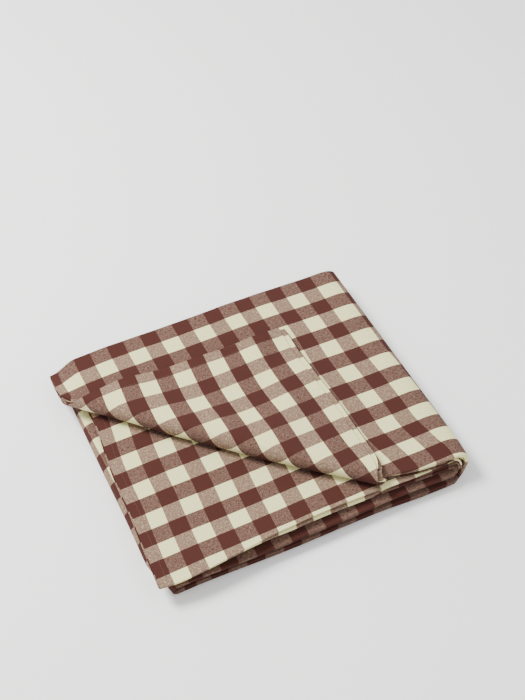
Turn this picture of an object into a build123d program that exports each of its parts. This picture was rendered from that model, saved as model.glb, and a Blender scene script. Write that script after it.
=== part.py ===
"""A gingham tablecloth, folded four wide and eight deep, with one corner of its top leaf turned back.

Frame: +X runs to the folds on the right, +Y to the back and +Z up. The origin is the middle of the
footprint, on the surface that the cloth lies on. The cloth's width is folded into four leaves. Each
leaf is eight plies of cloth, modelled as two closed packs of four plies.
"""

import os
from math import cos, radians, sin, sqrt

from build123d import *

os.makedirs("parts", exist_ok=True)

# Driving dimensions, in millimetres and degrees
length_x = 350.0  # folded size, from the left fold to the right folds
length_y = 316.0  # folded size, from front to back
leaf = 9.0  # thickness of one leaf of eight plies
gap = 0.4  # air under a pack that lifts off the one below
edge_round = 1.8  # rounding of a pack's folded front and back edges
second_left_inset, top_left_inset = 8.0, 1.0  # how far inside the left fold each leaf stops
second_front_inset, top_front_inset = 8.0, 5.0  # and how far behind the lower leaves' front edge
back_inset = 2.0
hem_width = 10.0
hem_clearance = 0.01  # between a hem and the plies beside it
stitch_length, stitch_pitch = 3.0, 4.5
stitch_width, stitch_height = 0.6, 0.3
seam_inset = 1.5  # from the hem's inner edge to its row of stitches
turn_angle = 45.6  # the turned corner's crease, measured from the front edge
turn_distance = 185.0  # from the footprint's front left corner, square to the crease
flap_height = 159.0  # from the crease to the tip of the turned corner
flap_step = 3.5  # the turned corner's upper pack stops this far inside its lower one
roll_radius = 10.5  # of the soft roll of cloth along the crease
crease_length = 330.0

# Places worked out from them
pack = leaf / 2
left, front = -length_x / 2, -length_y / 2
fold_x, fold_z = -left - 2 * leaf, 2 * leaf  # the line that the right folds are round about
left_fold_x = left + leaf
second_left, top_left = left + second_left_inset, left + top_left_inset
second_front, top_front = front + second_front_inset, front + top_front_inset
upper_back = -front - back_inset
second_z = 2 * leaf + gap  # underside of the second leaf
top_z = 3 * leaf  # underside of the top leaf
turned_z = 4 * leaf + gap  # underside of the turned corner
lifted_leaf = leaf - gap  # thickness of a leaf with air under it
crease_z = top_z + gap + roll_radius
square_x, square_y = sin(radians(turn_angle)), cos(radians(turn_angle))  # square to the crease
crease_x, crease_y = left + turn_distance * square_x, front + turn_distance * square_y
book_hinge_z = (crease_z + roll_radius + gap) / 2  # so that the opened half lies on the surface


def from_crease(along, across):
    """A point along the crease from its middle, and across it towards the back."""
    return (
        crease_x + along * square_y + across * square_x,
        crease_y - along * square_x + across * square_y,
    )


def finish(part, name):
    part.label = name
    export_step(part, f"parts/{name}.step")


def flat_pack(name, x_span, y_span, base, thickness):
    """A closed pack of plies with rounded front and back edges."""
    with BuildPart() as plies:
        with BuildSketch(Plane.YZ.offset(x_span[0])):
            with Locations((sum(y_span) / 2, base + thickness / 2)):
                RectangleRounded(y_span[1] - y_span[0], thickness, edge_round)
        extrude(amount=x_span[1] - x_span[0])
    finish(plies.part, name)


def fold(name, centre, outward, inner, outer, length):
    """Half a ring of plies about a level line through centre, on its outward side."""
    section = Plane(centre, x_dir=(*outward, 0), z_dir=(outward[1], -outward[0], 0))
    with BuildPart() as plies:
        with BuildSketch(section):
            with BuildLine():
                CenterArc((0, 0), outer, -90, 180)
                if inner > 0:
                    CenterArc((0, 0), inner, -90, 180)
                    Line((0, -outer), (0, -inner))
                    Line((0, inner), (0, outer))
                else:
                    Line((0, outer), (0, -outer))
            make_face()
        extrude(amount=length / 2, both=True)
    finish(plies.part, name)


def prism(name, corners, base, thickness):
    """A flat pack with straight sides, from its corners seen from above."""
    with BuildPart() as plies:
        with BuildSketch(Plane.XY.offset(base)):
            with BuildLine():
                Polyline(*corners, close=True)
            make_face()
        extrude(amount=thickness)
    finish(plies.part, name)


def stitches(name, start, end, base):
    """A row of thread stitches on top of a hem."""
    run = Vector(*end) - Vector(*start)
    middle = (Vector(*start) + Vector(*end)) / 2
    count = int(run.length / stitch_pitch)
    with BuildPart() as thread:
        with BuildSketch(Plane((middle.X, middle.Y, base), x_dir=(run.X, run.Y, 0))):
            with GridLocations(stitch_pitch, 0, count, 1):
                SlotOverall(stitch_length, stitch_width)
        extrude(amount=stitch_height)
    finish(thread.part, name)


# Lower half: the bottom leaf and the third leaf, with the left fold that joins them
lower_packs = {
    "bottom_leaf_lower_plies": 0.0,
    "bottom_leaf_upper_plies": 2.0,
    "third_leaf_lower_plies": 1.0,
    "third_leaf_upper_plies": 3.0,
}
for layer, (name, inset) in enumerate(lower_packs.items()):
    flat_pack(name, (left_fold_x, fold_x), (front + inset, -front - inset), layer * pack, pack)
left_centre = (left_fold_x, 0, leaf)
fold("left_fold_outer_plies", left_centre, (-1, 0), pack, leaf, length_y - 2)
fold("left_fold_inner_plies", left_centre, (-1, 0), 0, pack, length_y - 6)

# Right folds: the outer ones join bottom and top leaf, the inner ones third and second leaf
right_centre = (fold_x, 0, fold_z)
fold("outer_right_fold_outer_plies", right_centre, (1, 0), 3 * pack, 4 * pack, length_y - 4)
fold("outer_right_fold_inner_plies", right_centre, (1, 0), 2 * pack, 3 * pack, length_y - 6)
fold("inner_right_fold_outer_plies", right_centre, (1, 0), pack, 2 * pack, length_y - 10)
fold("inner_right_fold_inner_plies", right_centre, (1, 0), 0, pack, length_y - 14)

# Second leaf, with its hem along the left
second_inner = second_left + hem_width
second_packs = {"second_leaf_lower_plies": 1.5, "second_leaf_upper_plies": 0.0}
for layer, (name, inset) in enumerate(second_packs.items()):
    base = second_z + layer * lifted_leaf / 2
    y_span = (second_front + inset, upper_back - inset)
    flat_pack(name, (second_inner, fold_x), y_span, base, lifted_leaf / 2)
hem_span = (second_left, second_inner - hem_clearance)
flat_pack("second_leaf_hem", hem_span, (second_front, upper_back), second_z, lifted_leaf)


def crease_y_at(x):
    """Where the crease crosses a line along Y."""
    return crease_y - (x - crease_x) * square_x / square_y


def crease_x_at(y):
    """Where the crease crosses a line along X."""
    return crease_x - (y - crease_y) * square_y / square_x


# Top leaf, cut off along the crease where its front left corner turns back
top_inner = top_left + hem_width
top_corners = [
    (top_inner, upper_back),
    (top_inner, crease_y_at(top_inner)),
    (crease_x_at(top_front), top_front),
    (fold_x, top_front),
    (fold_x, upper_back),
]
for layer, name in enumerate(("top_leaf_lower_plies", "top_leaf_upper_plies")):
    prism(name, top_corners, top_z + layer * pack, pack)
hem_end = top_inner - hem_clearance
top_hem_corners = [
    (top_left, upper_back),
    (top_left, crease_y_at(top_left)),
    (hem_end, crease_y_at(hem_end)),
    (hem_end, upper_back),
]
prism("top_leaf_hem", top_hem_corners, top_z, leaf)

# Turned corner: a right-angled triangle on the top leaf, hemmed along its back edge
hem_along, hem_across = hem_width * sqrt(2), hem_width / sqrt(2)
turned_packs = {"turned_corner_lower_plies": 0.0, "turned_corner_upper_plies": flap_step}
for layer, (name, step) in enumerate(turned_packs.items()):
    turned_corners = [
        from_crease(hem_along - flap_height, 0),
        from_crease(hem_across - step / sqrt(2), flap_height - hem_across - step / sqrt(2)),
        from_crease(flap_height - step * sqrt(2), 0),
    ]
    prism(name, turned_corners, turned_z + layer * lifted_leaf / 2, lifted_leaf / 2)
clear = hem_clearance * sqrt(2)
turned_hem_corners = [
    from_crease(-flap_height, 0),
    from_crease(0, flap_height),
    from_crease(hem_across - clear, flap_height - hem_across),
    from_crease(hem_along - clear - flap_height, 0),
]
prism("turned_corner_hem", turned_hem_corners, turned_z, lifted_leaf)

# Soft roll of cloth along the crease
crease_centre, towards_corner = (crease_x, crease_y, crease_z), (-square_x, -square_y)
roll_hollow = roll_radius - leaf + gap
roll_middle = (roll_hollow + roll_radius) / 2
fold("crease_roll_outer_plies", crease_centre, towards_corner, roll_middle, roll_radius, crease_length)
fold("crease_roll_inner_plies", crease_centre, towards_corner, roll_hollow, roll_middle, crease_length)

# Hem stitches, where the hems can be seen
seam_x = second_inner - seam_inset
stitches("second_leaf_hem_stitches", (seam_x, second_front + 3), (seam_x, second_front + 222), top_z)
seam_x = top_inner - seam_inset
stitches("top_leaf_hem_stitches", (seam_x, upper_back - 48), (seam_x, upper_back - 3), 4 * leaf)
seam_in = hem_width - seam_inset
seam_start = from_crease(seam_in * sqrt(2) - flap_height + 3, 3)
seam_end = from_crease(seam_in / sqrt(2) - 3, flap_height - seam_in / sqrt(2) - 3)
stitches("turned_corner_hem_stitches", seam_start, seam_end, turned_z + lifted_leaf)

print(f"book hinge: x {fold_x:.3f}, z {book_hinge_z:.3f}, axis +Y")
print(f"crease hinge: {crease_x:.3f}, {crease_y:.3f}, {crease_z:.3f}")
print(f"crease axis: {square_y:.5f}, {-square_x:.5f}, 0")
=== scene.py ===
"""A gingham tablecloth, folded eight deep and four wide, with one corner of the top leaf turned back."""

import math

import bpy
import numpy as np
from mathutils import Matrix, Vector


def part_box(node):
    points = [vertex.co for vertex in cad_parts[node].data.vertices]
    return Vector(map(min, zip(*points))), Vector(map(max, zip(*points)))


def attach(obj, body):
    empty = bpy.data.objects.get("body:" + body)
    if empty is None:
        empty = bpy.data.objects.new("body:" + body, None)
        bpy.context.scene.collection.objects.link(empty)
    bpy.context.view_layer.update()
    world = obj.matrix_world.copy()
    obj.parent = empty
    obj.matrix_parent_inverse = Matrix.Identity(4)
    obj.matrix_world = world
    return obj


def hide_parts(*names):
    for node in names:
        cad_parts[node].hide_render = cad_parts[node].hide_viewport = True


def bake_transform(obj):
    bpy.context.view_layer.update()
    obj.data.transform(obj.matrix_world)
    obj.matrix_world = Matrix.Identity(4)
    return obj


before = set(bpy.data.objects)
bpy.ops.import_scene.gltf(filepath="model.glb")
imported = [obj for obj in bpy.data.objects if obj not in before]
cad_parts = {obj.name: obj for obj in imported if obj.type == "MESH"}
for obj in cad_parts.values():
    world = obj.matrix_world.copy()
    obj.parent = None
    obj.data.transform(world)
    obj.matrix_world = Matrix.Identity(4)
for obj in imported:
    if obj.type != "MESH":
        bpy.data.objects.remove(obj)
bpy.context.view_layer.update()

MM = 0.001
rng = np.random.default_rng(7)


def box_mm(node):
    low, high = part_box(node)
    return np.array(low) / MM, np.array(high) / MM


# ---- sizes read from the frame, in mm; x and y run from the stack's front left corner
right_low, _ = box_mm("outer_right_fold_outer_plies")
left_low, left_high = box_mm("left_fold_outer_plies")
bottom_low, bottom_high = box_mm("bottom_leaf_lower_plies")
_, third_high = box_mm("third_leaf_upper_plies")
origin_x, origin_y = left_low[0], bottom_low[1]
depth = bottom_high[1] - bottom_low[1]
fold_x = right_low[0] - origin_x
left_x = left_high[0] - origin_x
leaf = third_high[2] / 2

# ---- the cloth, in mm
cloth_width = 1405.0
cloth_length = 2520.0
check = 20.0
thickness = 0.7
hem_extra = 0.2
hem_width = 10.0
seam = 8.4
plies = 8
step = leaf / plies
outer = (plies - 1) / 2 * step

# mesh rows across a hem, close together at its edge and its seam
hem_steps = np.array([0.0, 0.8, 7.4, seam, 9.4, 11.0])
# plies of one leaf, 0 the inner and 7 the outer one, in the order that the cloth runs through them
ply_order = [3, 4, 7, 0, 1, 6, 5, 2]
# how far each ply's hem stands back from the leaf's hem line
ply_stagger = [0.0, 0.5, 2.4, 1.7, 0.9, 2.0, 1.4, 0.6]

# ---- the turned corner, in mm: its fold line's direction and place, its roll's radius, how high the flap
# lies past the ridge of the roll, how it swells, and the length of its two straight sides
turn_angle = math.radians(45.6)
across = np.array([math.sin(turn_angle), math.cos(turn_angle)])
along = np.array([math.cos(turn_angle), -math.sin(turn_angle)])
turn_distance = 184.6
roll = 6.5
roll_outer = roll + outer
flap_gap = leaf + 0.4
ridge = 44.0
swell, swell_level, swell_most = 1.1, 1.2, 3.0


def smooth(t):
    t = np.clip(t, 0, 1)
    return t * t * (3 - 2 * t)


def mix(a, b, t):
    return a + (b - a) * t


def curve(x, points):
    """A soft line through (place, value) points."""
    xs, ys = zip(*points)
    fine = np.linspace(xs[0], xs[-1], 400)
    width = 18
    window = np.hanning(2 * width + 3)[1:-1]
    padded = np.pad(np.interp(fine, xs, ys), width, mode="edge")
    return np.interp(x, fine, np.convolve(padded, window, mode="valid") / window.sum())


class Ripple:
    """Soft random waves of about one wavelength."""

    def __init__(self, wavelength, count=7):
        angle = rng.uniform(0, 2 * math.pi, count)
        size = 2 * math.pi / (wavelength * rng.uniform(0.7, 1.6, count))
        self.kx, self.ky = size * np.cos(angle), size * np.sin(angle)
        self.kz = rng.uniform(-0.05, 0.05, count)
        self.phase = rng.uniform(0, 2 * math.pi, count)

    def __call__(self, x, y, z=0.0):
        total = 0
        for kx, ky, kz, phase in zip(self.kx, self.ky, self.kz, self.phase):
            total = total + np.sin(kx * x + ky * y + kz * z + phase)
        return total / math.sqrt(len(self.phase))


broad, fine_wave, sway_x, sway_y = Ripple(120), Ripple(55), Ripple(130), Ripple(130)
flap_wave = Ripple(85, 5)

# ---- where each leaf's folded front edges and hems lie, as (x, y) or (y, x) lines in mm
front_lines = {
    "top_outer": [
        (-10, -12), (0, -13), (180, -14), (222, -9), (248, 9), (264, 19), (276, 18.5), (294, 13),
        (320, 11), (340, 8), (350, 3),
    ],
    "top_inner": [
        (-10, -5), (0, -5.5), (180, -6), (222, -2), (248, 12), (264, 20), (276, 19), (294, 12),
        (320, 10), (340, 7), (350, 3),
    ],
    "second": [
        (0, 6), (15, 3), (33, 3), (53, 4), (73, 6), (94, 7.5), (113, 9.5), (133, 11), (190, 12),
        (252, 10.5), (350, 6),
    ],
    "third": [(0, 4), (60, 3), (120, 2), (250, 1), (320, -1), (350, -1)],
    "bottom": [(0, 4.5), (60, 3.5), (120, 3), (250, 0), (290, -3), (350, -3)],
}
hem_second = [(0, 0.8), (25, 1.8), (61, 3.8), (99, 6.5), (139, 7.5), (180, 9), (220, 12.5), (316, 14)]
hem_top = [(-20, -5), (105, -5.5), (140, -7), (180, -9.5), (316, -9.5)]
# how far the turned corner's hem stands out past the top leaf's
hem_out = 3.2


def front_edges(number, x):
    """A leaf's four kinds of front edge: four outer plies, two inner plies, and the two hems."""
    if number == 1:
        outer_edge, inner_edge = curve(x, front_lines["top_outer"]), curve(x, front_lines["top_inner"])
        t, end = smooth((x - 200) / 60), smooth((x - 322) / 24)
        first_hem, last_hem = inner_edge + 1 + 6 * end, inner_edge - 6.0 + 11 * t + 4 * end
        return outer_edge, inner_edge + 5 * end, first_hem, last_hem
    if number == 4:
        edge, t = curve(x, front_lines["second"]), smooth((x - 90) / 60)
        return edge + 2 - 3.5 * t, edge, edge + 4 - 2 * t, edge + 2.5
    edge = curve(x, front_lines["third" if number == 3 else "bottom"])
    inner_edge = edge + (2 if number == 3 else -1)
    return edge, inner_edge, edge + 1.6, edge + 0.8


# how far each leaf's back edge lies behind the stack's, by its number down the cloth: top, bottom,
# third, second
back_offset = {1: -2.5, 2: 0.0, 3: 1.0, 4: -3.0}

# ---- y of the dark bands' middles from front to back, on the top leaf, the corner and the second leaf,
# and the cloth coordinate of one of them; on the rest of the cloth the bands follow from these
band_step = 2 * check
band_first = 655.3
band_top = [-17, 23, 58, 95.5, 135.5, 177, 219, 261, 301, 356]
band_turned = [-62, -22, 18, 58, 96.5, 136, 175, 217, 259, 299, 339]
band_second = [-14.5, 25.5, 61, 99, 138, 177.5, 219, 260, 300, 340]


def v_top(y):
    return np.interp(y, band_top, band_first + band_step * (np.arange(len(band_top)) - 1))


def v_turned(y):
    last = band_first + 8 * band_step
    return np.interp(y, band_turned, last + band_step * (9 - np.arange(len(band_turned))))


def v_second(y):
    last = band_first + 8 * band_step
    return np.interp(y, band_second, last + band_step * (8 - np.arange(len(band_second))))


def bow(c):
    """How far the fold line leaves a straight line, by place along it."""
    return 0.0377 * c + 1.25e-4 * c * c


def beyond_crease(x, y):
    """Distance past the corner's fold line, and place along it."""
    c = along[0] * x + along[1] * y
    return across[0] * x + across[1] * y - turn_distance - bow(c), c


def turned(x, y, n):
    """Top-leaf cloth: flat behind the fold line, then round the roll, then upside down on the flap."""
    q, c = beyond_crease(x, y)
    d = np.maximum(-q, 0)
    angle = np.minimum(d / roll_outer, math.pi)
    radius = roll - n
    past = np.maximum(d - math.pi * roll_outer, 0)
    new_q = np.where(q >= 0, q, -radius * np.sin(angle) + past)
    height = 2 * roll + (flap_gap - 2 * roll) * smooth(past / ridge)
    height = height + swell * smooth(past / 25) * (swell_level + flap_wave(past, c)).clip(0, swell_most)
    z = 3.5 * leaf + np.where(past > 0, height - n, roll - radius * np.cos(angle))
    p = turn_distance + bow(c) + new_q
    return across[0] * p + along[0] * c, across[1] * p + along[1] * c, z


# ---- the stack's soft shape, in mm unless it is a share
left_thinning, corner_thinning = 0.06, 0.42
broad_bump, fine_bump = 0.45, 0.22
front_opening = 1.6
left_tuck = 12
sway_in_x, sway_in_y, sway_per_leaf = 0.9, 0.8, 30


def settle(x, y, z, lift):
    """Shapes the whole stack: thinner towards the left and the back left corner, gently uneven.

    lift is 1 on the two upper leaves, 0 on the two lower ones. The bumps and the sway across fade out
    before the right fold, so that the leaves turn on it without touching.
    """
    corner = smooth(1 - (x + 9) / 32) * smooth((y - 258) / 52)
    scale = 1 - left_thinning * smooth(1 - x / 60)
    scale = scale - corner_thinning * corner
    fade = smooth((fold_x - 4 - x) / 60)
    bumps = broad_bump * broad(x, y) + fine_bump * fine_wave(x, y)
    opening = front_opening * smooth((x - 8) / 60) * smooth((290 - x) / 120) * smooth(1 - (y - 4) / 60)
    new_z = z * scale + fade * (bumps * z / (4 * leaf) + lift * opening)
    height = z / leaf
    past_fold = np.maximum(x - fold_x, 0)
    wider = np.maximum(0.3 + 0.045 * z, 0.5) - 1
    low = smooth(2.2 - height / 1.2)
    tucked = left_tuck * smooth(1 - (x + 8) / 60) * smooth(1 - y / 50) * (1 - lift) * low
    still = smooth((fold_x - x) / 60)
    across_sway = sway_in_x * still * sway_x(0 * x, y, sway_per_leaf * height)
    new_x = x + across_sway + past_fold * wider + tucked
    new_y = y + sway_in_y * sway_y(x, 0 * y, sway_per_leaf * height)
    return np.stack([origin_x + new_x, origin_y + new_y, new_z], -1) * MM


# how far back the front folds are pressed, how much closer, and how far the inner two plies part
press_reach, press_share, parting = 28, 0.18, 0.7


def pressed(y, n, front):
    """Height in the leaf once its front folds are pressed: plies closer together, the inner two apart."""
    near = smooth(1 - (y - front) / press_reach)
    return n * (1 - press_share * near) - parting * near * (n < -2 * step)


# how far the rows shift where the inner ply is hidden
hidden_shift = 20.6
# how far back the front edge's dark band reaches, on most leaves and on the second
dark_deep, dark_shallow = 60, 16


def section(edges, back, turned_share, dark_front, dark_reach):
    """The eight plies' path from the first hem to the last, one row for each place across the stack.

    Gives y, height in the leaf, cloth coordinate and stagger. edges are the front edges of the outer
    plies, of the inner plies and of the two hems.
    """
    size = len(back)
    centre_p, centre_q = edges[0] + 1.5 * step, edges[1] + 0.5 * step
    centre_back = back - outer
    reach = np.concatenate([hem_steps, np.linspace(15, 300, 38)])
    reach = reach / reach[-1]
    ys, ns, gs = [], [], []
    start = {3: edges[2], 2: edges[3], 0: centre_q, 1: centre_q}
    for m, ply in enumerate(ply_order):
        low = start.get(ply, centre_p)
        share = reach if m % 2 == 0 else reach[::-1]
        y = low[:, None] + (centre_back - low)[:, None] * share[None]
        ys.append(y)
        ns.append(np.full_like(y, (ply - 3.5) * step))
        gs.append(np.full_like(y, ply_stagger[ply]))
        if m == 7:
            break
        following = ply_order[m + 1]
        a, b = (ply - 3.5) * step, (following - 3.5) * step
        count = 9 if m % 2 == 0 else 7
        angle = np.linspace(0, math.pi, count + 2)[1:-1]
        middle, half = (a + b) / 2, (a - b) / 2
        if m % 2 == 0:
            y = centre_back[:, None] + abs(half) * np.sin(angle)[None]
        else:
            y = start.get(ply, centre_p)[:, None] - abs(half) * np.sin(angle)[None]
        ys.append(y)
        ns.append(np.broadcast_to(middle + half * np.cos(angle), y.shape))
        turn = angle / math.pi
        gs.append(np.broadcast_to(ply_stagger[ply] * (1 - turn) + ply_stagger[following] * turn, y.shape))
    # marks say where each stretch starts: plies are the even ones, the small folds between them the odd
    marks = np.cumsum([0] + [part.shape[1] for part in ys])
    y, n, g = (np.concatenate(parts, 1) for parts in (ys, ns, gs))
    n = pressed(y, n, np.minimum(edges[0], edges[1])[:, None])
    moved = np.hypot(np.diff(y, axis=1), np.diff(n, axis=1))
    path = np.concatenate([np.zeros((size, 1)), np.cumsum(moved, 1)], 1)
    v = np.zeros_like(y)
    top, under = slice(marks[4], marks[5]), slice(marks[6], marks[7])
    share = turned_share[:, None]
    v[:, top] = v_top(y[:, top])
    under_y = y[:, under]
    hidden = smooth((centre_back[:, None] - under_y) / 80)
    v[:, under] = mix(v_second(under_y), v_turned(under_y), share) - hidden_shift * (1 - hidden)
    before, between, after = slice(0, marks[4]), slice(marks[5], marks[6]), slice(marks[7], None)
    v[:, before] = v[:, marks[4]][:, None] * path[:, before] / path[:, marks[4]][:, None]
    share = (path[:, between] - path[:, [marks[5] - 1]]) / (path[:, [marks[6]]] - path[:, [marks[5] - 1]])
    v[:, between] = v[:, [marks[5] - 1]] + share * (v[:, [marks[6]]] - v[:, [marks[5] - 1]])
    share = (path[:, after] - path[:, [marks[7] - 1]]) / (path[:, [-1]] - path[:, [marks[7] - 1]])
    v[:, after] = v[:, [marks[7] - 1]] + share * (cloth_length - v[:, [marks[7] - 1]])
    v = v + dark_front[:, None] * check * smooth(1 - (y - 3) / dark_reach)
    return y, n, v, g


def cut_x(y):
    """Where the corner's fold line crosses a line of constant y."""
    x = (turn_distance - across[1] * y) / across[0]
    for _ in range(12):
        q, _ = beyond_crease(x, y)
        x = x - q / across[0]
    return x


# ---- the unfolded grid of the whole cloth but its turned corner, one row for each place across the
# stack, leaf by leaf: top, outer right fold, bottom, left fold, third, inner right fold, second
top_share = np.concatenate([hem_steps, np.linspace(15, fold_x, 84)])
top_share = top_share / top_share[-1]
parts = []


def add_part(kind, edges, back, turned_share, dark_front, dark_reach, make):
    y, n, v, g = section(edges, back, turned_share, dark_front, dark_reach)
    x, z, u, lift = make(y, n, g)
    parts.append((kind, x, y, z, u, v, lift))


def leaf_back(number):
    return depth + back_offset[number]


def hem_line_top(y, g):
    """x of a ply's hem on the top leaf, further out on the part that is turned back."""
    return curve(y, hem_top) + g - hem_out * smooth((225 - y) / 45)


def hem_line_second(y, g):
    """x of a ply's hem on the second leaf."""
    return curve(y, hem_second) - 0.7 * g


def u_top(x, y):
    """Distance from the top leaf's hem along the cloth, which flares at the front right corner."""
    return x - curve(y, hem_top) - 9.5 * smooth((80 - y) / 65) * smooth((x - 240) / 30)


def u_second(x, y):
    """Distance from the second leaf's hem along the cloth."""
    d = x - hem_line_second(y, 0)
    return d + 3.5 * smooth(d / 40) + 0.012 * d


front_start = cut_x(np.array([5.0]))[0]
front_place = front_start + top_share * (fold_x - front_start)


def make_top(y, n, g):
    left = np.maximum(hem_line_top(y, g), cut_x(y))
    x = left + top_share[:, None] * (fold_x - left)
    return x, 3.5 * leaf + n, u_top(x, y), np.ones_like(x)


def leaf_part(kind, number, place, make):
    same = np.ones(len(place))
    back = leaf_back(number) * same
    dark = {1: 0 * same, 2: same, 3: same, 4: smooth((place - 215) / 60)}[number]
    reach = dark_shallow if number == 4 else dark_deep
    add_part(kind, front_edges(number, place), back, same * (number == 1), dark, reach, make)


leaf_part("top", 1, front_place, make_top)
angles_outer = np.linspace(0, math.pi, 22)[1:]
angles_inner = np.linspace(0, math.pi, 16)[1:]
share_leaf = np.linspace(0, 1, 46)[1:]


def fold_part(kind, from_leaf, to_leaf, angles, edge_x, make):
    t = smooth(angles / math.pi)
    edge = np.full_like(t, edge_x)
    pairs = zip(front_edges(from_leaf, edge), front_edges(to_leaf, edge))
    edges = [mix(a, b, t) for a, b in pairs]
    back = mix(leaf_back(from_leaf), leaf_back(to_leaf), t)
    turned_share = (1 - t) * (from_leaf == 1)
    dark = {(1, 2): t, (2, 3): 0 * t + 1, (3, 4): 0 * t + 1}[(from_leaf, to_leaf)]
    reach = mix(dark_deep, dark_shallow, t)[:, None] if to_leaf == 4 else dark_deep
    add_part(kind, edges, back, turned_share, dark, reach, make)


def held(y, n):
    """Height in the leaf as it counts for slip: the outer ply's where a folded edge holds the plies."""
    edge = np.maximum(smooth((y - depth + 70) / 50), smooth((70 - y) / 50))
    return mix(n, outer, edge)


def make_outer(y, n, g):
    a = angles_outer[:, None]
    radius = 1.5 * leaf + n
    u = u_top(fold_x, y) + a * (1.5 * leaf + held(y, n))
    return fold_x + radius * np.sin(a), 2 * leaf + radius * np.cos(a), u, (1 - smooth(a / math.pi)) + 0 * n


fold_part("outer_fold", 1, 2, angles_outer, fold_x, make_outer)


# how far the cloth slips along the lower leaves: at the left fold, and near the front by share of the way
left_shift = -13.0
front_slip = [(0, 0), (0.12, -4), (0.4, -4), (0.56, 10), (0.85, 7), (1, 0)]


def u_ends(y, n):
    """Distance along the cloth at the outer right fold's end, and its rate from there to the inner one."""
    first = u_top(fold_x, y) + math.pi * (1.5 * leaf + n)
    last = cloth_width - u_second(fold_x, y) - math.pi * (0.5 * leaf - n)
    length = 2 * (fold_x - left_x) + math.pi * (0.5 * leaf + n)
    return first, (last - first) / length


def u_under(y, n, path):
    """Distance along the cloth for the two lower leaves, by the way gone from the outer right fold."""
    first, rate = u_ends(y, n)
    length = 2 * (fold_x - left_x) + math.pi * (0.5 * leaf + n)
    slip = curve(path / length, front_slip) * smooth((70 - y) / 50)
    return first + rate * path + left_shift * np.sin(math.pi * path / length) + slip


def make_bottom(y, n, g):
    x = fold_x - share_leaf[:, None] * (fold_x - left_x) + 0 * n
    return x, 0.5 * leaf - n, u_under(y, held(y, n), fold_x - x), 0 * n


place = fold_x - share_leaf * (fold_x - left_x)
leaf_part("lower", 2, place, make_bottom)


def make_left(y, n, g):
    a = angles_inner[:, None]
    radius = 0.5 * leaf + n
    even = held(y, n)
    u = u_under(y, even, (fold_x - left_x) + a * (0.5 * leaf + even))
    return left_x - radius * np.sin(a), leaf - radius * np.cos(a), u, 0 * n


fold_part("lower", 2, 3, angles_inner, left_x, make_left)


def make_third(y, n, g):
    x = left_x + share_leaf[:, None] * (fold_x - left_x) + 0 * n
    even = held(y, n)
    u = u_under(y, even, (fold_x - left_x) + math.pi * (0.5 * leaf + even) + (x - left_x))
    return x, 1.5 * leaf + n, u, 0 * n


place = left_x + share_leaf * (fold_x - left_x)
leaf_part("lower", 3, place, make_third)


def make_inner(y, n, g):
    a = angles_inner[:, None]
    radius = 0.5 * leaf - n
    u = cloth_width - u_second(fold_x, y) - (math.pi - a) * (0.5 * leaf - held(y, n))
    return fold_x + radius * np.sin(a), 2 * leaf - radius * np.cos(a), u, smooth(a / math.pi) + 0 * n


fold_part("inner_fold", 3, 4, angles_inner, fold_x, make_inner)
second_share = np.concatenate([hem_steps, np.linspace(15, fold_x, 84)])[::-1] / fold_x
second_share = second_share[1:]


def make_second(y, n, g):
    hem = hem_line_second(y, g)
    x = hem + second_share[:, None] * (fold_x - hem)
    return x, 2.5 * leaf - n, cloth_width - u_second(x, y), np.ones_like(x)


place = second_share * fold_x
leaf_part("second", 4, place, make_second)

kinds = np.concatenate([[part[0]] * len(part[1]) for part in parts])
grid_x, grid_y, grid_z, grid_u, grid_v, grid_lift = (
    np.concatenate([part[i] for part in parts]) for i in range(1, 7)
)
grid = settle(grid_x, grid_y, grid_z, grid_lift)


def grid_normals(points):
    normal = np.cross(np.gradient(points, axis=0), np.gradient(points, axis=1))
    return normal / np.maximum(np.linalg.norm(normal, axis=-1, keepdims=True), 1e-12)


normals = grid_normals(grid)


# ---- meshes
def add_object(name, data):
    made = bpy.data.objects.new(name, data)
    bpy.context.scene.collection.objects.link(made)
    return made


def cloth_thickness(u, v):
    """Thickness in metres: more at the hems, drawn in along their seam."""
    edge = np.minimum(np.minimum(u, cloth_width - u), np.minimum(v, cloth_length - v))
    hem = smooth((hem_width + 0.4 - edge) / 1.2)
    drawn = np.exp(-(((edge - seam) / 0.7) ** 2))
    return (thickness + hem_extra * hem - 0.25 * drawn) * MM


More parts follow.
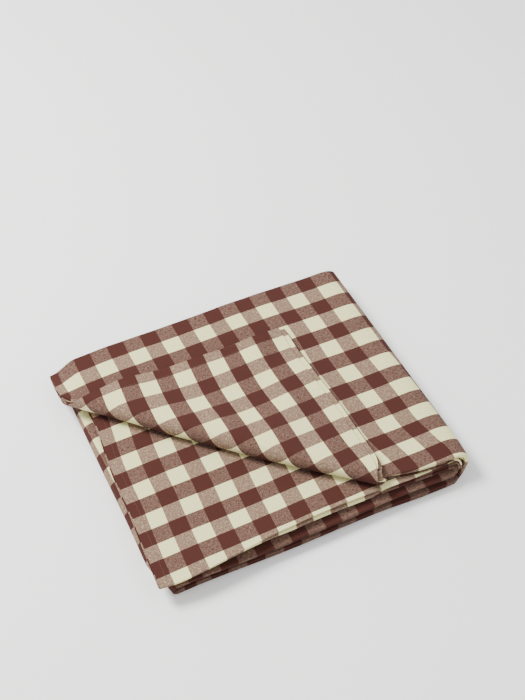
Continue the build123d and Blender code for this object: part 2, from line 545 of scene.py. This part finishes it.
def cloth_mesh(name, strips):
    """One mesh of closed sheets. Each strip is (points, normals, u, v)."""
    coords, faces, loop_normals, uvs = [], [], [], []
    offset = 0
    for points, normal, u, v in strips:
        a, b = points.shape[:2]
        half = cloth_thickness(u, v)[..., None] / 2
        upper, lower = points + normal * half, points - normal * half
        coords += [upper.reshape(-1, 3), lower.reshape(-1, 3)]
        flat = np.stack([u, v, 0 * u], -1).reshape(-1, 3) * MM
        uvs += [flat, flat]
        index = np.arange(a * b).reshape(a, b) + offset
        below = index + a * b
        quads = np.stack([index[:-1, :-1], index[1:, :-1], index[1:, 1:], index[:-1, 1:]], -1)
        quads = quads.reshape(-1, 4)
        under = np.stack([below[:-1, :-1], below[:-1, 1:], below[1:, 1:], below[1:, :-1]], -1)
        under = under.reshape(-1, 4)
        loop = np.concatenate([index[:-1, 0], index[-1, :-1], index[1:, -1][::-1], index[0, 1:][::-1]])
        loop_next = np.roll(loop, -1)
        rim = np.stack([loop_next, loop, loop + a * b, loop_next + a * b], -1)
        faces += [quads, under, rim]
        flat_normal = normal.reshape(-1, 3)
        loop_normals.append(flat_normal[(quads - offset).ravel()])
        loop_normals.append(-flat_normal[(under - offset - a * b).ravel()])
        every = np.concatenate([upper.reshape(-1, 3), lower.reshape(-1, 3)])
        corner = every[rim - offset]
        face_normal = np.cross(corner[:, 1] - corner[:, 0], corner[:, 3] - corner[:, 0])
        face_normal /= np.maximum(np.linalg.norm(face_normal, axis=1, keepdims=True), 1e-15)
        loop_normals.append(np.repeat(face_normal, 4, axis=0))
        offset += 2 * a * b
    coords, faces = np.concatenate(coords), np.concatenate(faces)
    mesh = bpy.data.meshes.new(name)
    mesh.vertices.add(len(coords))
    mesh.vertices.foreach_set("co", coords.ravel())
    mesh.loops.add(faces.size)
    mesh.loops.foreach_set("vertex_index", faces.ravel())
    mesh.polygons.add(len(faces))
    mesh.polygons.foreach_set("loop_start", np.arange(0, faces.size, 4))
    mesh.update(calc_edges=True)
    mesh.polygons.foreach_set("use_smooth", np.ones(len(faces), bool))
    place = mesh.attributes.new("cloth_place", "FLOAT_VECTOR", "POINT")
    place.data.foreach_set("vector", np.concatenate(uvs).astype(np.float32).ravel())
    mesh.normals_split_custom_set(np.concatenate(loop_normals).astype(np.float32))
    return add_object(name, mesh)


def grid_piece(name, kind):
    """A stretch of the grid. It shares the row before it; the top leaf's last row is left to the fold."""
    rows = np.flatnonzero(kinds == kind)
    first, last = {"top": (0, -1), "outer_fold": (-2, 0)}.get(kind, (-1, 0))
    chosen = slice(rows[0] + first, rows[-1] + last + 1)
    return cloth_mesh(name, [(grid[chosen], normals[chosen], grid_u[chosen], grid_v[chosen])])


# ---- the turned corner: five strips of cloth, in rows parallel to its fold line
distances = np.concatenate([np.linspace(0, 40, 31), np.linspace(43, 90, 17), np.linspace(95, 200, 22)])
corner_share = distances / distances[-1]


def on_line(q, c):
    """x and y at distance q past the fold line and place c along it."""
    p = turn_distance + bow(c) + q
    return across[0] * p + along[0] * c, across[1] * p + along[1] * c


def crossing(q, test):
    """Place along the row at distance q where test, rising along the row, passes zero."""
    low, high = np.full_like(q, -330.0), np.full_like(q, 330.0)
    for _ in range(40):
        middle = (low + high) / 2
        x, y = on_line(q, middle)
        positive = test(x, y) > 0
        high, low = np.where(positive, middle, high), np.where(positive, low, middle)
    return (low + high) / 2


def corner_rows(ply):
    """(x, y) of one ply's rows in the turned corner, from its hem to its front edge."""
    inner_ply, outer_ply = (1, 0.5 * step), (0, 1.5 * step)
    which, extra = {0: inner_ply, 1: inner_ply, 2: (3, 0.0), 3: (2, 0.0)}.get(ply, outer_ply)

    def front(x):
        return front_edges(1, x)[which]

    stagger = ply_stagger[ply]

    def past_hem(x, y):
        return x - hem_line_top(y, stagger)

    def past_front(x, y):
        return front(x) + extra - y

    tip_x = hem_line_top(0.0, stagger)
    for _ in range(8):
        tip_y = front(tip_x) + extra
        tip_x = hem_line_top(tip_y, stagger)
    tip_q, _ = beyond_crease(tip_x, tip_y)
    q = corner_share * (tip_q + 0.25)
    first, last = crossing(q, past_hem), crossing(q, past_front)
    length = (last - first)[:, None]
    steps = hem_steps / along[0]
    size = np.minimum(1, length / 45)
    near = steps[None] * size
    rest = mix(near[:, -1:] + 3 * size, length, np.linspace(0, 1, 62)[None])
    c = first[:, None] + np.concatenate([near, rest], 1)
    return on_line(q[:, None], c)


def corner_strip(first, second=None):
    """One ply of the turned corner, or two joined by their fold at the front edge."""
    x, y = corner_rows(first)
    n = np.full_like(x, (first - 3.5) * step)
    if second is not None:
        x2, y2 = (part[:, ::-1] for part in corner_rows(second))
        a, b = (first - 3.5) * step, (second - 3.5) * step
        angle = np.linspace(0, math.pi, 9)[None, 1:-1]
        t = angle / math.pi
        arc_x = mix(x[:, -1:], x2[:, :1], t)
        arc_y = mix(y[:, -1:], y2[:, :1], t) - abs(a - b) / 2 * np.sin(angle)
        arc_n = (a + b) / 2 + (a - b) / 2 * np.cos(angle) + 0 * arc_x
        x, y = np.concatenate([x, arc_x, x2], 1), np.concatenate([y, arc_y, y2], 1)
        n = np.concatenate([n, arc_n, np.full_like(x2, b)], 1)
    u = u_top(x, y)
    front_row = y[:, x.shape[1] // 2, None]
    if first == 0:
        v = np.where(n > -3 * step, 2 * v_turned(front_row) - v_turned(y), v_turned(y))
        v = np.where(n > -3 * step, np.maximum(v, v_turned(front_row)), v)
    elif second == 7:
        v = np.where(n > 2 * step, v_top(y), 2 * v_top(front_row) - v_top(y))
    elif first == 6:
        v = v_top(y)
    else:
        v = front_edges(1, x)[2 if first == 3 else 3] - y
        v = -v if first == 3 else cloth_length + v
    flat = turned(x, y, pressed(y, n, np.minimum(*front_edges(1, x)[:2])))
    points = settle(*flat, np.ones_like(x))
    return points, grid_normals(points), u, v


strips = [corner_strip(4, 7), corner_strip(6, 5), corner_strip(0, 1), corner_strip(3), corner_strip(2)]
turned_corner = cloth_mesh("cloth_turned_corner", strips)
top_leaf = grid_piece("cloth_top_leaf", "top")
outer_fold = grid_piece("cloth_outer_fold", "outer_fold")
lower = grid_piece("cloth_lower", "lower")
inner_fold = grid_piece("cloth_inner_fold", "inner_fold")
second_leaf = grid_piece("cloth_second_leaf", "second")
cloth_pieces = [turned_corner, top_leaf, outer_fold, lower, inner_fold, second_leaf]


# ---- sewing thread along the hems that show, on the ply that lies on top; d is the distance from its hem
def on_second(d, y):
    return settle(hem_line_second(y, ply_stagger[0]) + d, y, 2.5 * leaf + outer + 0 * y, np.ones_like(y))


def on_top(d, y):
    return settle(hem_line_top(y, ply_stagger[7]) + d, y, 3.5 * leaf + outer + 0 * y, np.ones_like(y))


def on_corner(d, y):
    x, y, z = turned(hem_line_top(y, ply_stagger[0]) + d, y, -outer + 0 * y)
    return settle(x, y, z, np.ones_like(y))


def surface(at, d, y):
    """Points of a ply, with their normals and their directions along the hem."""
    here = at(d, y)
    along_d, along_y = at(d + 0.4, y) - here, at(d, y + 0.4) - here
    normal = np.cross(along_d, along_y)
    normal /= np.linalg.norm(normal, axis=-1, keepdims=True)
    normal *= np.sign(normal[..., 2:3])
    return here, normal, along_y / np.linalg.norm(along_y, axis=-1, keepdims=True)


stitch_pitch, stitch_length, stitch_radius = 2.6, 2.0, 0.16
# a stitch's place along its length, thickness and height, as shares of its length and radius
stitch_profile = [
    (-0.5, 0.25, -0.25), (-0.38, 0.85, 0.12), (0.0, 1.0, 0.3), (0.38, 0.85, 0.12), (0.5, 0.25, -0.25),
]


def thread_mesh(name, at, low, high, out=0.0):
    """A row of stitches from low to high in y."""
    places = np.arange(low, high, stitch_pitch)
    places = places + rng.uniform(-0.15, 0.15, len(places))
    middle, normal, direction = surface(at, np.full_like(places, seam + out), places)
    side = np.cross(direction, normal)
    ring = np.linspace(0, 2 * math.pi, 9)[:-1]
    rings = []
    for place, size, rise in stitch_profile:
        lift = thickness / 2 + rise * stitch_radius
        centre = middle + (direction * place * stitch_length + normal * lift) * MM
        shape = [
            centre + (side * math.cos(a) + normal * math.sin(a)) * size * stitch_radius * MM for a in ring
        ]
        rings.append(np.stack(shape, 1))
    block = np.stack(rings, 1)
    count, levels, around = block.shape[:3]
    vertices = block.reshape(-1, 3)
    faces = []
    for k in range(count):
        base = k * levels * around
        for i in range(levels - 1):
            for j in range(around):
                here, after = base + i * around + j, base + i * around + (j + 1) % around
                faces.append((here, after, after + around, here + around))
        faces.append(tuple(base + j for j in range(around))[::-1])
        faces.append(tuple(base + (levels - 1) * around + j for j in range(around)))
    mesh = bpy.data.meshes.new(name)
    mesh.from_pydata(vertices.tolist(), [], faces)
    mesh.polygons.foreach_set("use_smooth", np.ones(len(mesh.polygons), bool))
    mesh.update()
    return add_object(name, mesh)


second_stitches = thread_mesh("second_leaf_thread", on_second, 9, 300)
top_stitches = thread_mesh("top_leaf_thread", on_top, 272, 300)
corner_stitches = thread_mesh("turned_corner_thread", on_corner, -1, 246, hem_out)


# ---- finishes
def linear(rgb):
    """A colour for a socket, from its 0 to 255 screen values."""
    def channel(value):
        value = value / 255
        return value / 12.92 if value <= 0.04045 else ((value + 0.055) / 1.055) ** 2.4

    return tuple(channel(value) for value in rgb) + (1.0,)


def material(name):
    made = bpy.data.materials.new(name)
    made.use_nodes = True
    return made, made.node_tree.nodes, made.node_tree.links, made.node_tree.nodes["Principled BSDF"]


# ---- how sharp a band's edge is, the yarns' spacing in mm, and the gingham's dye, with the colours of
# cream, a column, a row and a dark check
band_sharpness, yarn_pitch = 160.0, 0.55
row_dye, column_dye = 0.7, 0.4
dye_colours = {0.0: (220, 216, 161), column_dye: (121, 96, 83), row_dye: (98, 75, 65), 1.0: (67, 37, 32)}


def gingham(name):
    made, nodes, links, shader = material(name)

    def math_node(operation, a, b=None, c=None):
        node = nodes.new("ShaderNodeMath")
        node.operation = operation
        for socket, value in zip(node.inputs, (a, b, c)):
            if value is None:
                continue
            if isinstance(value, (int, float)):
                socket.default_value = value
            else:
                links.new(value, socket)
        return node.outputs[0]

    place = nodes.new("ShaderNodeAttribute")
    place.attribute_name = "cloth_place"
    split = nodes.new("ShaderNodeSeparateXYZ")
    links.new(place.outputs["Vector"], split.inputs[0])
    u, v = split.outputs[0], split.outputs[1]
    pitch = check * MM

    def band(value, shift):
        """1 on every other check, with an edge a fraction of a yarn wide."""
        turn = math_node("FRACT", math_node("DIVIDE", math_node("ADD", value, shift), 2 * pitch))
        sides = []
        for centre in (0.25, 1.25):
            away = math_node("ABSOLUTE", math_node("SUBTRACT", turn, centre))
            sides.append(math_node("MULTIPLY", math_node("SUBTRACT", 0.25, away), band_sharpness))
        return math_node("MINIMUM", math_node("MAXIMUM", math_node("MAXIMUM", *sides), 0.0), 1.0)

    columns = band(u, 10 * MM)
    rows = band(v, (100 * check - band_first + check / 2) * MM)

    def slub(scale_u, scale_v):
        """Uneven yarn: noise stretched along one direction of the cloth."""
        mapping = nodes.new("ShaderNodeCombineXYZ")
        links.new(math_node("MULTIPLY", u, scale_u), mapping.inputs[0])
        links.new(math_node("MULTIPLY", v, scale_v), mapping.inputs[1])
        noise = nodes.new("ShaderNodeTexNoise")
        noise.inputs["Scale"].default_value = 1.0
        noise.inputs["Detail"].default_value = 3.0
        noise.inputs["Roughness"].default_value = 0.6
        links.new(mapping.outputs[0], noise.inputs["Vector"])
        return noise.outputs["Fac"]

    weft = slub(260.0, 1100.0)
    warp = slub(1100.0, 260.0)
    cloudy = slub(620.0, 620.0)
    both = math_node("MULTIPLY", rows, columns)
    amount = math_node("MULTIPLY_ADD", rows, row_dye, math_node("MULTIPLY", columns, column_dye))
    amount = math_node("SUBTRACT", amount, math_node("MULTIPLY", both, row_dye + column_dye - 1))
    single = math_node("SUBTRACT", math_node("MAXIMUM", rows, columns), both)
    grain = math_node("ADD", math_node("SUBTRACT", weft, 0.5), math_node("SUBTRACT", warp, 0.5))
    grain = math_node("ADD", grain, math_node("SUBTRACT", cloudy, 0.5))
    only_rows = math_node("MULTIPLY", single, rows)
    loud = math_node("MULTIPLY_ADD", single, 0.38, 0.08)
    loud = math_node("MULTIPLY_ADD", only_rows, 0.52, loud)
    amount = math_node("MULTIPLY_ADD", grain, loud, amount)
    amount = math_node("MINIMUM", math_node("MAXIMUM", amount, 0.0), 1.0)
    colour = nodes.new("ShaderNodeValToRGB")
    stops = colour.color_ramp.elements
    stops.new(column_dye)
    stops.new(row_dye)
    for stop, rgb in zip(stops, dye_colours.values()):
        stop.color = linear(rgb)
    links.new(amount, colour.inputs["Fac"])
    shade = nodes.new("ShaderNodeHueSaturation")
    links.new(colour.outputs["Color"], shade.inputs["Color"])
    unevenness = math_node("MULTIPLY_ADD", amount, -0.5, 0.75)
    value = math_node("MULTIPLY_ADD", math_node("SUBTRACT", cloudy, 0.5), unevenness, 1.0)
    links.new(value, shade.inputs["Value"])
    links.new(shade.outputs[0], shader.inputs["Base Color"])
    links.new(math_node("MULTIPLY_ADD", cloudy, 0.2, 0.75), shader.inputs["Roughness"])
    shader.inputs["Sheen Weight"].default_value = 0.03
    shader.inputs["Sheen Roughness"].default_value = 0.45
    shader.inputs["Specular IOR Level"].default_value = 0.06
    yarn = yarn_pitch * MM
    across_u = math_node("SINE", math_node("MULTIPLY", u, 2 * math.pi / yarn))
    across_v = math_node("SINE", math_node("MULTIPLY", v, 2 * math.pi / yarn))
    weave = math_node("MULTIPLY", math_node("MULTIPLY", across_u, across_v), 0.25)
    relief = math_node("ADD", weave, math_node("MULTIPLY", math_node("ADD", weft, warp), 0.8))
    relief = math_node("ADD", relief, math_node("MULTIPLY", cloudy, 1.2))
    bump = nodes.new("ShaderNodeBump")
    bump.inputs["Strength"].default_value = 0.35
    bump.inputs["Distance"].default_value = 0.25 * MM
    links.new(relief, bump.inputs["Height"])
    links.new(bump.outputs[0], shader.inputs["Normal"])
    return made


def plain(name, rgb, roughness):
    made, _, _, shader = material(name)
    shader.inputs["Base Color"].default_value = linear(rgb)
    shader.inputs["Roughness"].default_value = roughness
    return made


cloth_material = gingham("gingham_cloth")
thread_material = plain("thread", (98, 70, 60), 0.8)
for piece in cloth_pieces:
    piece.data.materials.append(cloth_material)
for piece in (second_stitches, top_stitches, corner_stitches):
    piece.data.materials.append(thread_material)

# ---- how the pieces move and what they stand for
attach(lower, "lower_half")
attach(second_leaf, "upper_half")
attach(top_leaf, "upper_half")
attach(second_stitches, "upper_half")
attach(top_stitches, "upper_half")
for piece, reach in ((outer_fold, leaf * MM), (inner_fold, 0.15 * MM)):
    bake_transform(piece)
for piece in (turned_corner, corner_stitches):
    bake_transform(piece)

stands_for = {
    lower: [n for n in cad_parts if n.startswith(("bottom_leaf", "third_leaf", "left_fold"))],
    outer_fold: [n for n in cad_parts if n.startswith("outer_right_fold")],
    inner_fold: [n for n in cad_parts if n.startswith("inner_right_fold")],
    second_leaf: ["second_leaf_lower_plies", "second_leaf_upper_plies", "second_leaf_hem"],
    top_leaf: ["top_leaf_lower_plies", "top_leaf_upper_plies", "top_leaf_hem"],
    turned_corner: [
        "turned_corner_lower_plies",
        "turned_corner_upper_plies",
        "turned_corner_hem",
        "crease_roll_outer_plies",
        "crease_roll_inner_plies",
    ],
    second_stitches: ["second_leaf_hem_stitches"],
    top_stitches: ["top_leaf_hem_stitches"],
    corner_stitches: ["turned_corner_hem_stitches"],
}
for piece, names in stands_for.items():
    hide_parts(*names)


# ---- floor, light and camera, in metres
bpy.ops.mesh.primitive_plane_add(size=12, location=(0, 0, -0.0004))
floor = bpy.context.object
floor.name = "floor"
floor.data.materials.append(plain("floor_paint", (250, 250, 250), 0.9))

world = bpy.data.worlds.new("soft_room")
bpy.context.scene.world = world
world.use_nodes = True
world.node_tree.nodes["Background"].inputs["Color"].default_value = (1.0, 1.0, 1.0, 1)
world.node_tree.nodes["Background"].inputs["Strength"].default_value = 1.0


def area_light(name, place, size, power, colour):
    """A round lamp that points at the middle of the cloth."""
    data = bpy.data.lights.new(name, "AREA")
    data.shape, data.size, data.energy, data.color = "DISK", size, power, colour
    lamp = add_object(name, data)
    lamp.location = place
    lamp.rotation_euler = (-Vector(place)).to_track_quat("-Z", "Y").to_euler()


area_light("window_light", (-0.9, 0.9, 1.7), 0.8, 84, (1.0, 0.99, 0.97))
area_light("room_fill", (0.9, -1.2, 2.2), 1.6, 13, (1.0, 1.0, 1.0))

yaw, down = math.radians(25.75), math.radians(48.97)
camera_place, camera_lens = (-0.3153, -0.6729, 0.985), 56.96
forward = np.array([math.sin(yaw) * math.cos(down), math.cos(yaw) * math.cos(down), -math.sin(down)])
side = np.array([math.cos(yaw), -math.sin(yaw), 0.0])
up = np.cross(side, forward)
camera = add_object("camera", bpy.data.cameras.new("camera"))
camera.data.lens = camera_lens
pose = Matrix([list(row) for row in np.stack([side, up, -forward], 1)]).to_4x4()
pose.translation = camera_place
camera.matrix_world = pose
bpy.context.scene.camera = camera
